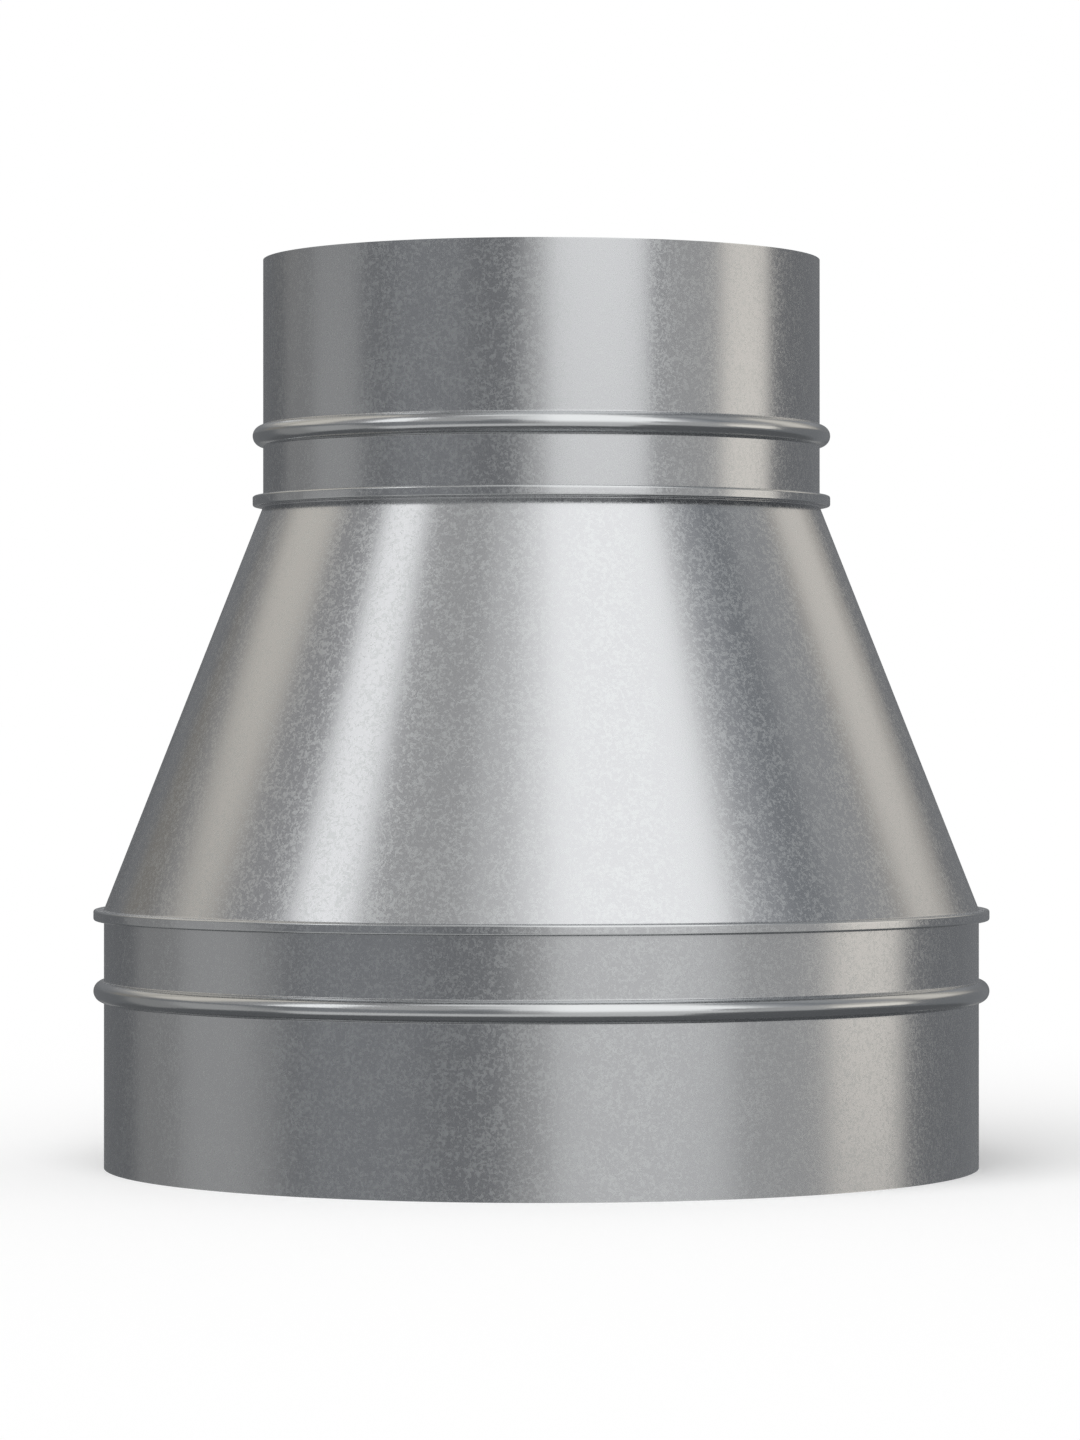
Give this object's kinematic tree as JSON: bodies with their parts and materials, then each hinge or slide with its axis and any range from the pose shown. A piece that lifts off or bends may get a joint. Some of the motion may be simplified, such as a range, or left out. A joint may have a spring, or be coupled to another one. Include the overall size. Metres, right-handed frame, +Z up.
{
  "type": "duct reducer",
  "caption": "Round concentric reducer of galvanised sheet: a beaded collar at each end of a straight cone, joined by squared lock seams.",
  "frame": {"origin": "centre of the large end's rim, on the plane it stands on", "axes": "+Z up the duct's axis, from the large end to the small end; +Y towards the closing seams"},
  "size_m": [0.2552, 0.2552, 0.2582],
  "materials": {
    "collar_sheet": "galvanised, fine spangle, satin",
    "cone_sheet": "galvanised, fine spangle, satin"
  },
  "bodies": {
    "root": {"small_collar": "collar_sheet", "cone": "cone_sheet", "large_collar": "collar_sheet"}
  },
  "joints": []
}
